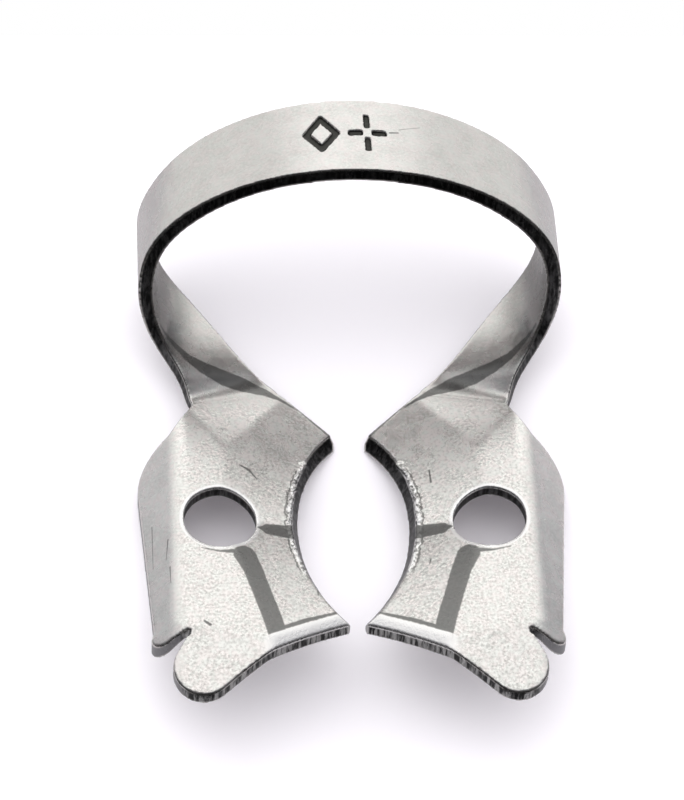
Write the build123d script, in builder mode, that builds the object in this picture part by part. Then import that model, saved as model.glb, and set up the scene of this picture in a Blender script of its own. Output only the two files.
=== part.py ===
"""Rubber dam clamp: one stamped and bent piece of spring steel sheet."""
import math
import os

from build123d import *

# Sheet and forceps holes
sheet = 0.7
forceps_hole_d = 3.3
hole_x = 6.15

# Bow: part of an ellipse at its inside face, leaning back from the jaws
bow_half_width = 9.12
bow_rise = 6.11
bow_centre_y = 10.2
bow_centre_z = 4.04
bow_lean = 11.0
bow_foot_angle = 95.0
band_top_width = 5.3
band_side_width = 4.6

# Jaw plan: prong tips, tooth notch, front lobe and side wing
distal_tip_x, distal_tip_y = 0.7, 5.64
mesial_tip_x, mesial_tip_y = 0.34, -4.9
tip_land = 0.3
tip_draft = 0.03
notch_reach = 2.85
notch_r = 7.32
notch_y = 0.41
tooth_edge_draft = 38.0
front_edge_sag = 0.2
lobe_x, lobe_y, lobe_r = 6.98, -8.03, 1.4
slot_x, slot_y, slot_w = 7.72, -6.4, 0.3
wing_x = 9.85
wing_taper = 0.65
wing_front_y = -5.8
wing_back_y = 2.5
wing_nose, wing_nose_drop = 0.73, 0.4
shoulder_x, shoulder_y = 8.4, 5.05
neck_x, neck_y = 7.3, 6.6
root_x, root_y = 3.3, 7.77

# Jaw facets and bends
inner_slope = 15.5
distal_fall = 1.4
mesial_fall = 4.9
neck_bend_x, neck_bend_y = 5.85, 4.0
neck_inner_slope = 7.2
neck_fall = 5.2
lobe_bend_y = -6.3
lobe_fall = 11.5
lobe_outer_fall = 2.9
strip_tip_y = -4.5
strip_turn = 31.0
strip_fall = 15.0
wing_fold_x = 8.05
wing_angle = 42.0
bend_r = 1.5

# Legs: points of the two edges, in shares of the way from the jaw to the bow's foot
leg_front_way = [(0.25, 0.37, 0.15), (0.66, 0.71, 0.35), (0.92, 0.93, 0.66)]
leg_back_way = [(0.25, 0.20, 0.14), (0.48, 0.44, 0.29), (0.73, 0.70, 0.44), (0.95, 0.94, 0.66)]
leg_steps = 7

# The jaws tip up by this angle where the clamp rests on prong tips and leg roots
rest_tilt = 15.3

lean = math.radians(bow_lean)
up = Vector(0, math.sin(lean), math.cos(lean))
across = Vector(0, math.cos(lean), -math.sin(lean))
bow_centre = Vector(0, bow_centre_y, bow_centre_z)


def facet(x, y, slope_x, slope_y):
    """Flat of the jaw's top face: a point at height 0 and its climb along X and Y, in degrees."""
    return x, y, math.tan(math.radians(slope_x)), math.tan(math.radians(slope_y))


flat_facet = facet(0, 0, 0, 0)
neck_facet = facet(neck_bend_x, neck_bend_y, neck_inner_slope, -neck_fall)
lobe_facet = facet(hole_x, lobe_bend_y, -lobe_outer_fall, lobe_fall)
wing_facet = facet(wing_fold_x, 0, -wing_angle, 0)
distal_facet = facet(hole_x, 0, inner_slope, distal_fall)
mesial_facet = facet(hole_x, 0, inner_slope, -mesial_fall)


def on_facet(flat, x, y):
    """Point of a facet above one plan position."""
    x0, y0, climb_x, climb_y = flat
    return Vector(x, y, climb_x * (x - x0) + climb_y * (y - y0))


def bent_facet(flat, x, y, turn, fall):
    """Facet that leaves another one along a line through a plan position and falls away beyond it."""
    across_fold, drop = math.radians(turn), math.tan(math.radians(fall))
    start = on_facet(flat, x, y)
    climb_x = flat[2] + drop * math.sin(across_fold)
    climb_y = flat[3] + drop * math.cos(across_fold)
    return x - start.Z / climb_x, y, climb_x, climb_y


strip_facet = bent_facet(mesial_facet, mesial_tip_x, strip_tip_y, strip_turn, strip_fall)


def facet_plane(flat, inset):
    """Plane of a facet, moved into the metal by the inset."""
    x0, y0, climb_x, climb_y = flat
    normal = Vector(-climb_x, -climb_y, 1).normalized()
    return Plane(origin=Vector(x0, y0, 0) - normal * inset, z_dir=normal)


# Blank that the facets cut: it reaches past the jaw on every side
blank = Box(wing_x + 6 * sheet, root_y - lobe_y + lobe_r + 12 * sheet, 2 * wing_x, mode=Mode.PRIVATE)
blank = blank.moved(Location(((wing_x + 4 * sheet) / 2, (root_y + lobe_y - lobe_r) / 2, 0)))
blank_box = blank.bounding_box()


def is_ridge(edge):
    """True for the crown edges of a jaw block, away from its outer walls."""
    mid = edge @ 0.5
    inside = (blank_box.min.X + sheet / 2 < mid.X < blank_box.max.X - sheet / 2
              and blank_box.min.Y + sheet / 2 < mid.Y < blank_box.max.Y - sheet / 2
              and blank_box.min.Z + sheet / 2 < mid.Z)
    return inside and edge.geom_type == GeomType.LINE and abs((edge % 0.5).Z) < 0.7


def crowned_block(inset, ridge_r):
    """Block whose top follows the jaw facets, with rounded ridges."""
    halves = []
    for inner in ((distal_facet,), (mesial_facet, strip_facet)):
        with BuildPart() as half:
            add(blank)
            for flat in (flat_facet, neck_facet, lobe_facet, wing_facet, *inner):
                split(bisect_by=facet_plane(flat, inset), keep=Keep.BOTTOM)
        halves.append(half.part)
    with BuildPart() as block:
        add(halves)
        with Locations((hole_x, 0)):
            Cylinder(forceps_hole_d * 0.4, 4 * wing_x, mode=Mode.SUBTRACT)
        fillet([e for e in block.edges() if is_ridge(e)], ridge_r)
    return block.part


outer = crowned_block(0, bend_r)
inner = crowned_block(sheet, bend_r - sheet)

with BuildSketch() as jaw_plan:
    with BuildLine():
        distal_tip = (distal_tip_x, distal_tip_y)
        mesial_tip = (mesial_tip_x, mesial_tip_y)
        tip_end = (mesial_tip_x + tip_draft, mesial_tip_y - tip_land)
        Polyline(distal_tip, mesial_tip, tip_end)
        lobe = CenterArc((lobe_x, lobe_y), lobe_r, 232, 150)
        SagittaArc(tip_end, lobe @ 0, front_edge_sag)
        slot_near = (slot_x, slot_y - slot_w / 2)
        slot_far = (slot_x, slot_y + slot_w / 2)
        Line(lobe @ 1, slot_near)
        ThreePointArc(slot_near, (slot_x - slot_w / 2, slot_y), slot_far)
        nose = Line(slot_far, (slot_x + wing_nose, slot_far[1] - wing_nose_drop))
        corner = TangentArc(nose @ 1, (wing_x - wing_taper, wing_front_y), tangent=nose % 1)
        edge = Line(corner @ 1, (wing_x, wing_back_y))
        shoulder = TangentArc(edge @ 1, (shoulder_x, shoulder_y), tangent=edge % 1)
        Polyline(shoulder @ 1, (neck_x, neck_y), (root_x, root_y), distal_tip)
    make_face()

# The tooth notch's wall leans in under the jaw's top face, square to the inner facets
notch_climb = math.tan(math.radians((distal_fall - mesial_fall) / 2))
notch_normal = Vector(-distal_facet[2], -notch_climb, 1)
notch_x = notch_reach - notch_r * math.cos(math.radians(inner_slope))
notch_plane = Plane(origin=(notch_x, notch_y, distal_facet[2] * (notch_x - hole_x)), z_dir=notch_normal)
edge_lean = 2 * sheet * math.tan(math.radians(tooth_edge_draft))

with BuildPart() as jaw:
    add(outer)
    add(inner, mode=Mode.SUBTRACT)
    extrude(jaw_plan.sketch, amount=wing_x, both=True, mode=Mode.INTERSECT)
    with Locations((hole_x, 0)):
        Cylinder(forceps_hole_d / 2, 4 * wing_x, mode=Mode.SUBTRACT)
    with Locations(notch_plane):
        Cone(notch_r - edge_lean, notch_r + edge_lean, 4 * sheet, mode=Mode.SUBTRACT)


def bow_station(angle):
    """Front and back inside-face points of the bow at an angle from its top."""
    a = math.radians(angle)
    front = bow_centre + Vector(bow_half_width * math.sin(a)) + up * (bow_rise * math.cos(a))
    width = band_side_width + (band_top_width - band_side_width) * math.cos(a) ** 2
    return front, front + across * width


def leg_edge(start, end, way, leaving):
    """Edge line of the leg's inside face, from the jaw's end wall into the bow's foot."""
    gap = end - start
    points = [start + Vector(gap.X * x, gap.Y * y, gap.Z * z) for x, y, z in way]
    a = math.radians(bow_foot_angle)
    arriving = Vector(-bow_half_width * math.cos(a)) + up * (bow_rise * math.sin(a))
    return Edge.make_spline([start, *points, end], tangents=[leaving.normalized(), arriving.normalized()])


def band_section(front, back, travel):
    """Sheet section between two points of the inside face, square to the travel."""
    wide = back - front
    side = wide.cross(travel).normalized()
    middle = (front + back) * 0.5 + side * (sheet / 2)
    with BuildSketch(Plane(origin=middle, x_dir=wide, z_dir=side.cross(wide) * -1)) as section:
        Rectangle(wide.length, sheet)
    return section.sketch


def mirrored(point):
    return Vector(-point.X, point.Y, point.Z)


def joint_section(corners):
    """End wall of a jaw, where the leg grows out of it."""
    return Face(Wire.make_polygon(corners))


neck = on_facet(neck_facet, neck_x, neck_y)
root = on_facet(neck_facet, root_x, root_y)
foot_front, foot_back = bow_station(bow_foot_angle)
neck_out = on_facet(neck_facet, neck_x + 0.33, neck_y + 1) - neck
root_out = on_facet(neck_facet, root_x + 1.05, root_y + 1) - root
front_edge = leg_edge(neck, foot_front, leg_front_way, neck_out)
back_edge = leg_edge(root, foot_back, leg_back_way, root_out)

stations = [(front_edge @ (i / leg_steps), back_edge @ (i / leg_steps)) for i in range(1, leg_steps)]
stations += [bow_station(a) for a in (bow_foot_angle, 75, 55, 35, 17, 0)]
stations += [(mirrored(front), mirrored(back)) for front, back in reversed(stations[:-1])]
middles = [(front + back) * 0.5 for front, back in [(neck, root)] + stations]
middles.append(mirrored(middles[0]))

wall_drop = Vector(0, 0, sheet / facet_plane(neck_facet, 0).z_dir.Z)
wall = [neck, root, root - wall_drop, neck - wall_drop]
sections = [joint_section(wall)]
for i, (front, back) in enumerate(stations):
    sections.append(band_section(front, back, middles[i + 2] - middles[i]))
sections.append(joint_section([mirrored(c) for c in wall]))

with BuildPart() as bow:
    loft(sections)

with BuildPart() as clamp:
    add(bow.part.fuse(jaw.part, jaw.part.mirror(Plane.YZ), tol=0.001))

# Set down on the table, origin under the middle of the outer box
standing = clamp.part.rotate(Axis.X, -rest_tilt)
box = standing.bounding_box()
standing = standing.moved(Location((0, -box.center().Y, -box.min.Z)))
print("solids", len(standing.solids()), "valid", standing.is_valid, "volume", standing.volume)
print("set down by", -box.center().Y, -box.min.Z, "size", standing.bounding_box().size)

os.makedirs("parts", exist_ok=True)
standing.label = "clamp"
export_step(standing, "parts/clamp.step")
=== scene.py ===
import math
import random

import bmesh
import bpy
from mathutils import Matrix, Vector
from mathutils.bvhtree import BVHTree
from mathutils.kdtree import KDTree


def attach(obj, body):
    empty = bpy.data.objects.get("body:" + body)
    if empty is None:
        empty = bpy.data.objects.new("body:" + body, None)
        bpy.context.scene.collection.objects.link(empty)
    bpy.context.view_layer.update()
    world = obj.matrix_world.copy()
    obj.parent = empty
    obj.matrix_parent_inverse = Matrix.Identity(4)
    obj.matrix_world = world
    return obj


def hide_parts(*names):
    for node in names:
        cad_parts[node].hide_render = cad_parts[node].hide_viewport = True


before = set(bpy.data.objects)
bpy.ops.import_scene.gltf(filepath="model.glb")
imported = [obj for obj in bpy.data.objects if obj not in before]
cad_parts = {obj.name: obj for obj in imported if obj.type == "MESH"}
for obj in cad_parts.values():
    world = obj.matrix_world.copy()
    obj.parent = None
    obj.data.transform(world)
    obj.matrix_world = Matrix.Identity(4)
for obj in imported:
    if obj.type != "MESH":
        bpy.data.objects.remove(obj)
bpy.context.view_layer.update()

scene = bpy.context.scene

# The jaws' own frame: millimetres from the point between the forceps holes, as the CAD stands it
stand = {"tilt": 15.3, "shift": (0.0, -4.604734, 3.514009)}
turn = Matrix.Rotation(math.radians(-stand["tilt"]), 4, "X")
fromJaws = Matrix.Scale(0.001, 4) @ Matrix.Translation(stand["shift"]) @ turn
intoJaws = fromJaws.inverted()


def linkObject(name, data):
    made = bpy.data.objects.new(name, data)
    scene.collection.objects.link(made)
    return made


def meshFrom(bm, name):
    mesh = bpy.data.meshes.new(name)
    bm.to_mesh(mesh)
    bm.free()
    return mesh


class ShaderTools:
    def __init__(self, tree):
        self.nodes, self.links = tree.nodes, tree.links
        self.nodes.clear()

    def feed(self, socket, value):
        if isinstance(value, bpy.types.NodeSocket):
            self.links.new(value, socket)
        elif socket.type == "RGBA" and len(value) == 3:
            socket.default_value = (*value, 1)
        else:
            socket.default_value = value

    def node(self, kind, *values, settings=(), **inputs):
        new = self.nodes.new("ShaderNode" + kind)
        for name, value in dict(settings).items():
            setattr(new, name, value)
        for socket, value in zip(new.inputs, values):
            self.feed(socket, value)
        for name, value in inputs.items():
            self.feed(new.inputs[name], value)
        return new

    def calc(self, operation, *values, clamp=False):
        return self.node("Math", *values, settings={"operation": operation, "use_clamp": clamp}).outputs[0]

    def joined(self, operation, first, *others):
        for other in others:
            first = self.calc(operation, first, other)
        return first

    def vector(self, operation, *values, out=0):
        return self.node("VectorMath", *values, settings={"operation": operation}).outputs[out]

    def scaled(self, values, factor):
        return self.node("VectorMath", values, settings={"operation": "SCALE"}, Scale=factor).outputs[0]

    def mixed(self, share, first, second, kind="RGBA"):
        new = self.node("Mix", share, settings={"data_type": kind})
        low, out = {"FLOAT": (2, 0), "RGBA": (6, 2)}[kind]
        self.feed(new.inputs[low], first)
        self.feed(new.inputs[low + 1], second)
        return new.outputs[out]

    def stepped(self, value, low, high, start=0.0, end=1.0):
        smooth = {"interpolation_type": "SMOOTHSTEP"}
        return self.node("MapRange", value, low, high, start, end, settings=smooth).outputs[0]


def newMaterial(name):
    made = bpy.data.materials.new(name)
    made.use_nodes = True
    return made, ShaderTools(made.node_tree)


# Camera
camera = {"elevation": 52.0, "azimuth": -5.3, "roll": 3.9, "distance": 200.0, "lens": 198.0, "sensor": 36.0,
          "shift": (-13.3 / 800, 115.6 / 800), "clip": (0.01, 10.0)}

azimuth, elevation, roll = (math.radians(camera[k]) for k in ("azimuth", "elevation", "roll"))
back = Vector((math.sin(azimuth) * math.cos(elevation), -math.cos(azimuth) * math.cos(elevation),
               math.sin(elevation)))
level = Vector((math.cos(azimuth), math.sin(azimuth), 0))
rise = back.cross(level)
right = level * math.cos(roll) + rise * math.sin(roll)
upward = rise * math.cos(roll) - level * math.sin(roll)
lens = bpy.data.cameras.new("camera")
lens.lens, lens.sensor_width, lens.sensor_fit = camera["lens"], camera["sensor"], "AUTO"
lens.shift_x, lens.shift_y = camera["shift"]
lens.clip_start, lens.clip_end = camera["clip"]
cameraObject = linkObject("camera", lens)
axes = (turn.to_3x3() @ Matrix((right, upward, back)).transposed()).to_4x4()
cameraObject.matrix_world = Matrix.Translation(fromJaws @ (back * camera["distance"])) @ axes
scene.camera = cameraObject
print("camera done")

# Steel: places and widths are in the jaws' millimetres
# Painted light among these colours: the dark band colour is painted reflection and shadow, the near-white
# highlight colour is a painted highlight, the pit colour is painted shade, and the wall tones are partly
# painted reflection
steelLook = {
    "bright": (0.98, 0.96, 0.94), "dull": (0.56, 0.545, 0.53), "paintedDark": (0.17, 0.17, 0.165),
    "rose": (1.0, 0.975, 0.965), "leaf": (0.965, 0.985, 0.965), "highlightTone": (1.0, 0.99, 0.98),
    "wallDarkReflection": (0.022, 0.022, 0.022), "wallPaleReflection": (0.46, 0.46, 0.45), "wallMurkyReflection": (0.11, 0.11, 0.11),
    "wingEnd": (0.26, 0.26, 0.265), "pit": (0.05, 0.05, 0.045), "scratch": (0.10, 0.10, 0.10),
    "roughness": (0.20, 0.34), "bump": 0.25, "bumpHeight": 0.00003,
}
# Noises: scale, detail and roughness
noises = {"grain": (7.5, 3.0, 0.55), "mottle": (0.9, 2.0, 0.55), "ragged": (5.0, 2.0, 0.55),
          "burr": (3.2, 3.0, 0.7), "torn": (6.0, 2.0, 0.6), "tint": (2.6, 2.0, 0.55),
          "strokes": (1.0, 3.0, 0.7)}
# How far each noise or mark shows
shares = {"raggedEdge": 0.08, "raggedHalo": 0.6, "burrWander": 0.5, "plainSpeckle": 0.25, "speckle": 2.7,
          "mottle": 0.5, "tone": 0.42, "distalLightShare": 0.3, "flankLeast": 0.06, "flankMore": 0.24,
          "legLeast": 0.10, "legMore": 0.46, "paintedHighlight": 0.95, "burrShadowLine": 0.8, "paintedDark": 0.9, "scratch": 0.85}
# Where each look comes in, from nothing to all of it
fades = {"strip": (4.6, 3.9), "plateSide": (8.3, 7.6), "plateBack": (7.2, 5.6), "distalLight": (1.5, 5.0),
         "bow": (7.0, 8.2), "flank": (1.0, 4.5), "legHeight": (0.45, 1.1), "wingSide": (7.7, 8.3),
         "wingBack": (6.0, 5.0), "wallPaleReflection": (-1.5, -5.0), "wall": (0.35, 0.75), "rim": (0.06, 0.16),
         "pit": (0.6, 0.95), "hatching": (0.42, 0.62), "tint": (0.4, 0.6), "torn": (0.50, 0.42)}
soft = {"edge": 0.04, "halo": 0.05, "scratch": 0.03, "burrEnds": 0.5}
hatching = (6.0, 6.0, 0.6)
hole = {"x": 6.15, "radius": 1.65, "halo": 0.2}
notch = {"reach": 2.85, "radius": 7.32, "y": 0.41, "slope": 15.5, "distalFall": 1.4, "mesialFall": 4.9}
notchSlope = math.radians(notch["slope"])
notchX = notch["reach"] - notch["radius"] * math.cos(notchSlope)
# Widths of the burr's painted highlight and painted shadow line
burrBand = {"paintedHighlight": 0.22, "line": 0.36, "back": 3.7, "front": -2.9}
# Painted reflection: dark bands along the bends of both jaws and legs, each a row of (|x|, y, z, half width)
# joined by straight runs
creaseReflectionMarks = {
    "legBend": [(8.73, 9.86, 1.77, 0.08), (8.15, 9.40, 1.06, 0.12), (7.50, 8.88, 0.63, 0.20),
                (6.80, 8.55, 0.30, 0.30), (5.85, 8.24, -0.08, 0.38), (4.90, 8.03, -0.43, 0.38),
                (4.00, 7.76, -0.60, 0.24), (3.30, 7.40, -0.66, 0.10), (2.30, 6.86, -0.95, 0.06),
                (0.85, 5.66, -1.32, 0.08)],
    "mesialBend": [(7.0, -1.78, 0, 0.02), (6.2, -1.98, 0, 0.05), (5.55, -1.98, 0, 0.12),
                   (5.06, -2.1, -0.14, 0.54), (4.68, -3.0, -0.14, 0.48), (4.25, -4.5, -0.15, 0.46),
                   (3.90, -5.7, -0.15, 0.47), (3.62, -6.9, -0.12, 0.45)],
    "prongBend": [(4.42, -0.28, -0.46, 0.04), (3.95, -0.30, -0.58, 0.32), (2.5, -0.27, -0.95, 0.42)],
    "tipFold": [(4.05, -6.50, -0.08, 0.10), (2.46, -5.52, -0.55, 0.11), (0.75, -4.62, -1.05, 0.07)],
}
foldLine = {"from": (4.05, -6.62), "to": (0.8, -4.72)}
# Scratches and nicks lie on one side only: (x, y, z, half width)
scratches = [
    [(-5.17, 3.13, -0.20, 0.035), (-4.76, 2.92, -0.32, 0.055), (-4.40, 2.48, -0.43, 0.03)],
    [(3.55, 3.14, -0.64, 0.03), (3.60, 2.44, -0.65, 0.05)],
    [(1.72, 14.29, 10.08, 0.05), (2.09, 14.35, 10.01, 0.04)],
    [(2.15, 14.58, 9.96, 0.02), (3.14, 14.96, 9.69, 0.012)],
    [(-1.79, -3.60, -0.88, 0.05), (-1.77, -3.85, -0.86, 0.03)],
    [(3.37, -2.05, -0.58, 0.04), (3.31, -2.35, -0.60, 0.02)],
    [(-6.95, -5.90, 0.0, 0.05), (-6.70, -6.10, 0.0, 0.07)],
    [(-9.23, 0.2, -1.06, 0.02), (-9.20, -2.2, -1.03, 0.012)],
    [(-8.52, -1.0, -0.42, 0.03), (-8.62, -2.1, -0.50, 0.012)],
    [(-8.45, -2.6, -0.36, 0.03), (-8.42, -3.5, -0.34, 0.012)],
]


def steelMaterial():
    made, tools = newMaterial("spring_steel")
    node, calc, joined, vector = tools.node, tools.calc, tools.joined, tools.vector
    scaled, mixed, stepped = tools.scaled, tools.mixed, tools.stepped

    def noiseAt(at, name):
        scale, detail, rough = noises[name]
        return node("TexNoise", Vector=at, Scale=scale, Detail=detail, Roughness=rough).outputs[0]

    def attribute(name):
        return node("Attribute", settings={"attribute_name": name}).outputs["Fac"]

    def streak(marks, at, fade, wander=None):
        nearest = []
        for (*start, wide), (*end, narrow) in zip(marks, marks[1:]):
            run = Vector(end) - Vector(start)
            away = vector("SUBTRACT", at, start)
            along = vector("DOT_PRODUCT", away, run, out=1)
            along = calc("MULTIPLY", along, 1 / run.length_squared, clamp=True)
            distance = vector("DISTANCE", away, scaled(run, along), out=1)
            nearest.append(calc("ADD", distance, calc("MULTIPLY_ADD", along, wide - narrow, -wide)))
        nearest = joined("MINIMUM", *nearest)
        if wander is not None:
            nearest = calc("ADD", nearest, wander)
        return stepped(nearest, fade, -fade)

    jaw = node("Mapping", node("TexCoord").outputs["Object"], Scale=(1000, 1000, 1000),
               Rotation=intoJaws.to_euler(), Location=intoJaws.translation).outputs[0]
    x, y, z = node("SeparateXYZ", jaw).outputs
    side = calc("ABSOLUTE", x)
    eitherSide = node("CombineXYZ", side, y, z).outputs[0]
    fine, broad = noiseAt(jaw, "grain"), noiseAt(jaw, "mottle")
    ragged = calc("MULTIPLY_ADD", noiseAt(jaw, "ragged"), shares["raggedEdge"], -shares["raggedEdge"] / 2)

    # Painted highlight: beyond the fold the strip by the front edge is made brighter, and so is the rim of the
    # forceps hole
    edge = soft["edge"]
    foldStart, foldEnd = Vector(foldLine["from"]), Vector(foldLine["to"])
    run = (foldEnd - foldStart).normalized()
    beyond = calc("MULTIPLY_ADD", side, run.y, run.x * foldStart.y - run.y * foldStart.x)
    beyond = calc("MULTIPLY_ADD", y, -run.x, beyond)
    strip = calc("MULTIPLY", stepped(beyond, edge, -edge), stepped(side, *fades["strip"]))
    holeAway = vector("DISTANCE", node("CombineXYZ", side, y).outputs[0], (hole["x"], 0, 0), out=1)
    haloReach = hole["radius"] + hole["halo"]
    halo = stepped(calc("MULTIPLY_ADD", ragged, shares["raggedHalo"], holeAway),
                   haloReach + soft["halo"], haloReach - soft["halo"])

    # Painted light at the tooth notch: a highlight on the torn burr, and a painted shadow line behind it
    across = calc("MULTIPLY_ADD", side, 1 / math.cos(notchSlope), -notchX / math.cos(notchSlope))
    notchAway = vector("LENGTH", node("CombineXYZ", across, calc("ADD", y, -notch["y"])).outputs[0], out=1)
    wander = calc("MULTIPLY_ADD", noiseAt(jaw, "burr"), shares["burrWander"], -shares["burrWander"] / 2)
    reached = calc("ADD", calc("ADD", notchAway, wander), -notch["radius"])
    burrEnds = calc("MULTIPLY", stepped(y, burrBand["front"], burrBand["front"] + soft["burrEnds"]),
                    stepped(y, burrBand["back"], burrBand["back"] - soft["burrEnds"]))
    burrShadowLine = joined("MULTIPLY", stepped(reached, burrBand["paintedHighlight"], burrBand["paintedHighlight"] + edge),
                      stepped(reached, burrBand["line"], burrBand["line"] - edge), burrEnds)
    burrHighlight = calc("MULTIPLY", stepped(reached, burrBand["paintedHighlight"], burrBand["paintedHighlight"] - edge), burrEnds)
    torn = calc("MULTIPLY", burrHighlight, stepped(noiseAt(jaw, "torn"), *fades["torn"]))
    burrShadowLine = calc("MAXIMUM", burrShadowLine, torn)

    # Painted reflection: dark crease bands, left off under the painted highlights
    bands = {name: streak(marks, eitherSide, edge, ragged) for name, marks in creaseReflectionMarks.items()}
    hidden = calc("SUBTRACT", 1.0, calc("MAXIMUM", strip, halo))
    creaseReflection = calc("MULTIPLY", calc("MAXIMUM", bands["mesialBend"], bands["tipFold"]), hidden)
    creaseReflection = joined("MAXIMUM", creaseReflection, bands["legBend"], bands["prongBend"])
    scratched = joined("MAXIMUM", *(streak(marks, jaw, soft["scratch"]) for marks in scratches))

    # Only the jaws' flat plates keep the full speckle of the tumbling
    plate = calc("MULTIPLY", stepped(side, *fades["plateSide"]), stepped(y, *fades["plateBack"]))
    speckle = calc("MULTIPLY_ADD", plate, 1 - shares["plainSpeckle"], shares["plainSpeckle"])
    grain = calc("MULTIPLY", calc("SUBTRACT", fine, 0.5), speckle)
    # Painted light: the plates are made brighter towards the back, against the shade they reflect from the bow
    distalLight = calc("MULTIPLY", stepped(y, *fades["distalLight"]), plate)
    tone = calc("MULTIPLY_ADD", distalLight, shares["distalLightShare"], shares["tone"])
    tone = calc("MULTIPLY_ADD", grain, shares["speckle"], tone)
    tone = calc("MULTIPLY_ADD", broad, shares["mottle"], tone, clamp=True)
    face = mixed(tone, steelLook["dull"], steelLook["bright"])

    # Painted shade: the bow's flanks and the legs' insides are made darker than the jaws
    bowFlank = stepped(side, *fades["flank"])
    bowFlank = calc("MULTIPLY_ADD", bowFlank, shares["flankMore"], shares["flankLeast"])
    legInside = stepped(z, *fades["legHeight"])
    legInside = calc("MULTIPLY_ADD", legInside, shares["legMore"], shares["legLeast"])
    bowPaintedShade = mixed(attribute("inside"), bowFlank, legInside, kind="FLOAT")
    bowPaintedShade = calc("MULTIPLY", bowPaintedShade, stepped(y, *fades["bow"]))
    face = scaled(face, calc("SUBTRACT", 1.0, bowPaintedShade))
    tint = mixed(stepped(noiseAt(jaw, "tint"), *fades["tint"]), steelLook["rose"], steelLook["leaf"])
    face = vector("MULTIPLY", face, tint)
    # Painted highlight on the front strip, the hole's rim and the burr
    paintedHighlight = joined("MAXIMUM", strip, halo, burrHighlight)
    face = mixed(calc("MULTIPLY", paintedHighlight, shares["paintedHighlight"]), face, steelLook["highlightTone"])
    # Painted shadow line behind the burr
    face = mixed(calc("MULTIPLY", burrShadowLine, shares["burrShadowLine"]), face, steelLook["paintedDark"])
    # Painted reflection: the crease bands darken the steel
    face = mixed(calc("MULTIPLY", creaseReflection, shares["paintedDark"]), face, steelLook["paintedDark"])

    # Sheared walls are black with hatching, which is palest at the front, and plain grey at the wings; the
    # hatching is the sheared texture, while the black and the paler front are painted reflection
    strokes = noiseAt(node("Mapping", jaw, Scale=hatching).outputs[0], "strokes")
    wallReflectionTone = mixed(stepped(y, *fades["wallPaleReflection"]), steelLook["wallMurkyReflection"], steelLook["wallPaleReflection"])
    wallHatchAndReflection = mixed(stepped(strokes, *fades["hatching"]), steelLook["wallDarkReflection"], wallReflectionTone)
    wing = calc("MULTIPLY", stepped(side, *fades["wingSide"]), stepped(y, *fades["wingBack"]))
    wallHatchAndReflection = mixed(wing, wallHatchAndReflection, steelLook["wingEnd"])
    inner = calc("MULTIPLY", stepped(attribute("wall"), *fades["wall"]),
                 stepped(attribute("rim"), *fades["rim"]))
    colour = mixed(inner, face, wallHatchAndReflection)
    colour = mixed(calc("MULTIPLY", scratched, shares["scratch"]), colour, steelLook["scratch"])
    # Painted shade: the stamped recesses are darkened
    colour = mixed(stepped(attribute("pit"), *fades["pit"]), colour, steelLook["pit"])

    low, high = steelLook["roughness"]
    bump = node("Bump", Strength=steelLook["bump"], Distance=steelLook["bumpHeight"],
                Height=calc("MULTIPLY", fine, speckle)).outputs[0]
    shader = node("BsdfPrincipled", colour, Metallic=1.0, Normal=bump,
                  Roughness=calc("MULTIPLY_ADD", broad, high - low, low))
    node("OutputMaterial", shader.outputs[0])
    return made


steel = steelMaterial()
print("materials done")

# Clamp: the CAD sheet with tumbled edges, the stamped mark and the burr of the tooth notch
bow = {"halfWidth": 9.12, "rise": 6.11, "centreY": 10.2, "centreZ": 4.04, "lean": 11.0, "sheet": 0.7}
sheetTest = {"merge": 0.000004, "skin": 0.01, "deep": 0.95, "jawBack": 5.9, "steep": 0.6, "flatAngle": 0.5}
tumbling = {"voxel": 0.06, "rounds": 9, "factor": 0.5, "share": 0.26, "sharpAngle": 35.0, "sharpStep": 0.05,
            "flatArea": 2.6, "flatGap": 0.03, "flatFrom": 0.2, "flatFull": 0.35, "rimFar": 1.0, "pitDepth": 0.1,
            "pitFrom": 0.3}
joint = {"neck": (7.3, 6.6), "root": (3.3, 7.77), "before": 0.5, "after": 1.1, "back": 9.2, "ease": 0.06,
         "fill": 0.36}
stamp = {"depth": 0.17, "clear": 0.3, "stroke": 0.33, "halfWidth": 0.86, "halfHeight": 1.45, "left": -1.37,
         "right": 0.65, "across": 2.8, "rays": 4, "rayStroke": 0.297, "rayLength": 0.72, "rayStart": 0.22,
         "raySpread": (0.9, 1.5)}
burr = {"seed": 7, "lumps": 80, "from": 27.0, "to": -24.0, "jitter": 0.4, "inset": (0.03, 0.26),
        "size": (0.07, 0.16), "long": 1.4, "flat": 0.8, "least": 0.02, "turn": 0.6, "thinFrom": 0.55,
        "thin": 0.6}


def applied(piece):
    made = bpy.data.meshes.new_from_object(piece.evaluated_get(bpy.context.evaluated_depsgraph_get()))
    piece.modifiers.clear()
    piece.data = made
    return made


def bandPoint(place):
    lean = math.radians(bow["lean"])
    lift = Vector((0, math.sin(lean), math.cos(lean)))
    angle = place.x / bow["halfWidth"]
    spot = Vector((bow["halfWidth"] * math.sin(angle), bow["centreY"], bow["centreZ"]))
    spot += lift * (bow["rise"] * math.cos(angle))
    outward = Vector((math.sin(angle) / bow["halfWidth"], 0, 0)) + lift * (math.cos(angle) / bow["rise"])
    across = Vector((0, math.cos(lean), -math.sin(lean)))
    return spot + outward.normalized() * (bow["sheet"] + place.z) + across * place.y


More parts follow.
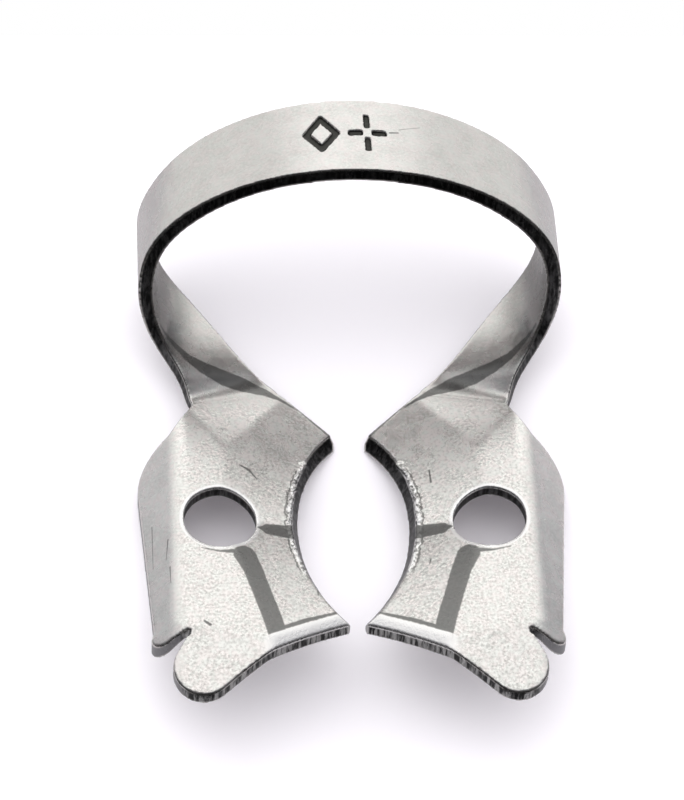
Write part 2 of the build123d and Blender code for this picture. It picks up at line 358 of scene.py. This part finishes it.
def stampCutter():
    bm = bmesh.new()
    tall = stamp["clear"] + stamp["depth"]
    ring = bmesh.ops.create_circle(bm, cap_ends=True, segments=4, radius=1.0)["verts"]
    bmesh.ops.scale(bm, vec=(stamp["halfWidth"], stamp["halfHeight"], 1), verts=ring)
    bmesh.ops.inset_region(bm, faces=bm.faces[:], thickness=stamp["stroke"], use_boundary=True,
                           use_even_offset=True)
    middle = min(bm.faces, key=lambda f: f.calc_center_median().length)
    bmesh.ops.delete(bm, geom=[middle], context="FACES_ONLY")
    raised = bmesh.ops.extrude_face_region(bm, geom=bm.faces[:], use_keep_orig=True)["geom"]
    raised = [v for v in raised if isinstance(v, bmesh.types.BMVert)]
    bmesh.ops.translate(bm, vec=(0, 0, tall), verts=raised)
    bmesh.ops.translate(bm, vec=(stamp["left"], stamp["across"], -stamp["depth"]), verts=bm.verts)
    for i in range(stamp["rays"]):
        ray = bmesh.ops.create_cube(bm, size=1.0)["verts"]
        bmesh.ops.scale(bm, vec=(stamp["rayStroke"], stamp["rayLength"], tall), verts=ray)
        middle = (0, stamp["rayStart"] + stamp["rayLength"] / 2, tall / 2 - stamp["depth"])
        bmesh.ops.translate(bm, vec=middle, verts=ray)
        spin = Matrix.Rotation(math.tau * i / stamp["rays"], 3, "Z")
        bmesh.ops.rotate(bm, cent=(0, 0, 0), matrix=spin, verts=ray)
        bmesh.ops.scale(bm, vec=(*stamp["raySpread"], 1), verts=ray)
        bmesh.ops.translate(bm, vec=(stamp["right"], stamp["across"], 0), verts=ray)
    for vert in bm.verts:
        vert.co = bandPoint(vert.co)
    bmesh.ops.recalc_face_normals(bm, faces=bm.faces)
    return linkObject("cutter", meshFrom(bm, "cutter"))


def addBurr(bm):
    draw = random.Random(burr["seed"])
    for side in (-1, 1):
        for i in range(burr["lumps"]):
            share = (i + draw.uniform(-burr["jitter"], burr["jitter"])) / burr["lumps"]
            angle = math.radians(burr["from"] + (burr["to"] - burr["from"]) * share)
            small = 1.0 if share < burr["thinFrom"] else burr["thin"]
            radius = notch["radius"] + draw.uniform(*burr["inset"]) * small
            x = notchX + radius * math.cos(angle) * math.cos(notchSlope)
            y = notch["y"] + radius * math.sin(angle)
            fall = math.radians(notch["distalFall"] if y > 0 else -notch["mesialFall"])
            z = math.tan(notchSlope) * (x - hole["x"]) + math.tan(fall) * y
            lump = bmesh.ops.create_icosphere(bm, subdivisions=2, radius=1.0)["verts"]
            wide, long, tall = (draw.uniform(*burr["size"]) * small for _ in range(3))
            size = (wide, long * burr["long"], tall * burr["flat"] + burr["least"])
            bmesh.ops.scale(bm, vec=size, verts=lump)
            spin = Matrix.Rotation(draw.uniform(-burr["turn"], burr["turn"]), 3, "Z")
            bmesh.ops.rotate(bm, cent=(0, 0, 0), matrix=spin, verts=lump)
            bmesh.ops.translate(bm, vec=(side * x, y, z), verts=lump)


# A face belongs to the sheared edge where the metal behind it is deeper than the sheet, or where it is
# steeper than anything that is bent on a jaw
def wallFaces(bm, sheetTree):
    walls = set()
    for face in bm.faces:
        start = face.calc_center_median() - face.normal * sheetTest["skin"]
        depth = sheetTree.ray_cast(start, -face.normal)[3] or 0
        steep = start.y < sheetTest["jawBack"] and abs(face.normal.z) < sheetTest["steep"]
        if depth > sheetTest["deep"] or steep:
            walls.add(face.index)
    return walls


def rimPoints(bm):
    points = []
    for line in bm.edges:
        if line.calc_face_angle(0) > math.radians(tumbling["sharpAngle"]):
            first, last = (v.co for v in line.verts)
            steps = max(1, round((last - first).length / tumbling["sharpStep"]))
            points += [first.lerp(last, i / steps) for i in range(steps + 1)]
    tree = KDTree(len(points))
    for i, point in enumerate(points):
        tree.insert(point, i)
    tree.balance()
    return tree


def flatFacets(bm):
    facets = bm.copy()
    bmesh.ops.dissolve_limit(facets, angle_limit=math.radians(sheetTest["flatAngle"]), verts=facets.verts,
                             edges=facets.edges)
    facets.faces.index_update()
    facets.normal_update()
    flats = {face.index for face in facets.faces if face.calc_area() > tumbling["flatArea"]}
    tree = BVHTree.FromBMesh(facets)
    facets.free()
    return tree, flats


def stampSheet(piece):
    cutter = stampCutter()
    cut = piece.modifiers.new("stamp", "BOOLEAN")
    cut.operation, cut.object, cut.solver = "DIFFERENCE", cutter, "EXACT"
    made = applied(piece)
    bpy.data.objects.remove(cutter)
    bm = bmesh.new()
    bm.from_mesh(made)
    addBurr(bm)
    bm.to_mesh(made)
    bm.free()
    print("stamped", len(made.vertices))


def tumble(piece):
    grid = piece.modifiers.new("grid", "REMESH")
    grid.mode, grid.voxel_size = "VOXEL", tumbling["voxel"]
    worn = piece.modifiers.new("worn", "SMOOTH")
    worn.factor, worn.iterations = tumbling["factor"], tumbling["rounds"]
    thin = piece.modifiers.new("thin", "DECIMATE")
    thin.ratio = tumbling["share"]
    made = applied(piece)
    print("tumbled", len(made.polygons))
    return made


# The leg bends out of the jaw in a soft curve, without the dip of the CAD's loft
def easeJoint(made):
    neck, root = Vector(joint["neck"]), Vector(joint["root"])
    run = (root - neck).normalized()
    outward = Vector((run.y, -run.x))
    before, after = joint["before"], joint["after"]
    for vert in made.vertices:
        away = (Vector((abs(vert.co.x), vert.co.y)) - neck).dot(outward)
        if -before < away <= 0:
            vert.co.z += joint["ease"] * (away + before) ** 2
        elif 0 < away < after and vert.co.y < joint["back"]:
            t = away / after
            vert.co.z += joint["ease"] * before ** 2 * (1 - 3 * t ** 2 + 2 * t ** 3)
            vert.co.z += joint["fill"] * after * (t - 2 * t ** 2 + t ** 3)


def clampPiece():
    bm = bmesh.new()
    bm.from_mesh(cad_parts["clamp"].data)
    bmesh.ops.remove_doubles(bm, verts=bm.verts, dist=sheetTest["merge"])
    bmesh.ops.transform(bm, matrix=intoJaws, verts=bm.verts)
    bm.faces.index_update()
    bm.normal_update()
    sheetTree = BVHTree.FromBMesh(bm)
    walls, rims = wallFaces(bm, sheetTree), rimPoints(bm)
    facetTree, flats = flatFacets(bm)
    print("sheet read", len(bm.faces), "faces,", len(walls), "in the walls")
    piece = linkObject("clampSteel", meshFrom(bm, "clampSteel"))
    stampSheet(piece)
    made = tumble(piece)

    # Where each point lies: on a sheared wall, how far from a rim, in a pit or on the bow's inside
    places = {"wall": [], "rim": [], "pit": [], "inside": []}
    for vert in made.vertices:
        spot, normal, index, _ = sheetTree.find_nearest(vert.co)
        distance = rims.find(vert.co)[2]
        depth = (spot - vert.co).dot(normal)
        sunk = min(1.0, max(0.0, depth / tumbling["pitDepth"]))
        facing = normal.x * vert.co.x + normal.z * (vert.co.z - bow["centreZ"])
        places["wall"].append(1.0 if index in walls else 0.0)
        places["rim"].append(min(distance, tumbling["rimFar"]))
        places["pit"].append(sunk if distance > tumbling["pitFrom"] else 0.0)
        places["inside"].append(1.0 if facing < 0 and vert.co.y > joint["neck"][1] else 0.0)
        near = distance > tumbling["flatFrom"] and abs(depth) < tumbling["flatGap"]
        if near and facetTree.find_nearest(vert.co)[2] in flats:
            span = tumbling["flatFull"] - tumbling["flatFrom"]
            vert.co = vert.co.lerp(spot, min(1.0, (distance - tumbling["flatFrom"]) / span))
    for name, values in places.items():
        made.attributes.new(name, "FLOAT", "POINT").data.foreach_set("value", values)
    easeJoint(made)
    made.transform(fromJaws)
    made.shade_smooth()
    made.materials.clear()
    made.materials.append(steel)
    return piece


clamp = clampPiece()
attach(clamp, "root")
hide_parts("clamp")
print("clamp done", len(clamp.data.polygons), "faces")

# Floor: white paper to the camera, duller in the steel and for the light that it throws back
floorLook = {"side": 0.017, "front": 0.020, "back": 0.022, "paper": (0.97, 0.965, 0.975),
             "glow": (0.03, 0.025, 0.035), "mirrored": (0.5, 0.495, 0.5), "bounced": (0.32, 0.315, 0.33)}

made, tools = newMaterial("paper")
path = tools.node("LightPath").outputs
unseen = tools.mixed(path["Is Glossy Ray"], floorLook["bounced"], floorLook["mirrored"])
unseen = tools.node("BsdfDiffuse", unseen).outputs[0]
seen = tools.node("BsdfDiffuse", floorLook["paper"]).outputs[0]
glow = tools.node("Emission", floorLook["glow"], path["Is Camera Ray"]).outputs[0]
seen = tools.node("AddShader", seen, glow).outputs[0]
tools.node("OutputMaterial", tools.node("MixShader", path["Is Camera Ray"], unseen, seen).outputs[0])
bm = bmesh.new()
corners = bmesh.ops.create_grid(bm, x_segments=1, y_segments=1, size=1.0)["verts"]
bmesh.ops.scale(bm, vec=(floorLook["side"], (floorLook["front"] + floorLook["back"]) / 2, 1), verts=corners)
bmesh.ops.translate(bm, vec=(0, (floorLook["back"] - floorLook["front"]) / 2, 0), verts=corners)
floor = linkObject("floor", meshFrom(bm, "floor"))
floor.data.materials.append(made)

lampLook = {"place": (-0.08, 0.18, 0.22), "size": 0.24, "power": 0.15}

lamp = bpy.data.lights.new("window", "AREA")
lamp.size, lamp.energy = lampLook["size"], lampLook["power"]
lampObject = linkObject("window", lamp)
lampObject.location = lampLook["place"]
lampObject.rotation_euler = (-Vector(lampLook["place"])).to_track_quat("-Z", "Y").to_euler()
lampObject.visible_glossy = False

# Surroundings: white to the camera, a soft dome for the floor, and for the steel a room that is bright
# behind the clamp, dim at its sides and dark in front
surroundings = {
    "spread": 0.8, "strength": 1.0, "dome": (2.15, 2.1, 2.18), "domeFront": 0.05, "domeFade": (-0.7, 0.3),
    "stops": [(-1.0, (0.02, 0.02, 0.02)), (-0.5, (0.05, 0.05, 0.055)), (-0.2, (0.18, 0.18, 0.19)),
              (-0.01, (0.50, 0.51, 0.54)), (0.06, (0.76, 0.76, 0.77)), (0.2, (1.0, 1.0, 0.99)),
              (1.0, (1.05, 1.05, 1.04))]}

world = bpy.data.worlds.new("surroundings")
scene.world = world
world.use_nodes = True
tools = ShaderTools(world.node_tree)
ray = tools.node("SeparateXYZ", tools.node("TexCoord").outputs["Generated"]).outputs
place = tools.calc("MULTIPLY_ADD", tools.calc("ABSOLUTE", ray["X"]), -surroundings["spread"], ray["Y"])
ramp = tools.node("ValToRGB", tools.calc("MULTIPLY_ADD", place, 0.5, 0.5))
marks = ramp.color_ramp.elements
while len(marks) < len(surroundings["stops"]):
    marks.new(0.5)
for mark, (spot, tint) in zip(marks, surroundings["stops"]):
    mark.position, mark.color = spot / 2 + 0.5, (*tint, 1)
domeShare = tools.stepped(ray["Y"], *surroundings["domeFade"], surroundings["domeFront"], 1.0)
path = tools.node("LightPath").outputs
room = tools.mixed(path["Is Glossy Ray"], tools.scaled(surroundings["dome"], domeShare), ramp.outputs[0])
room = tools.node("Background", room, surroundings["strength"]).outputs[0]
white = tools.node("Background", (1, 1, 1)).outputs[0]
tools.node("OutputWorld", tools.node("MixShader", path["Is Camera Ray"], room, white).outputs[0])
scene.view_settings.view_transform = "Standard"
print("stage done")
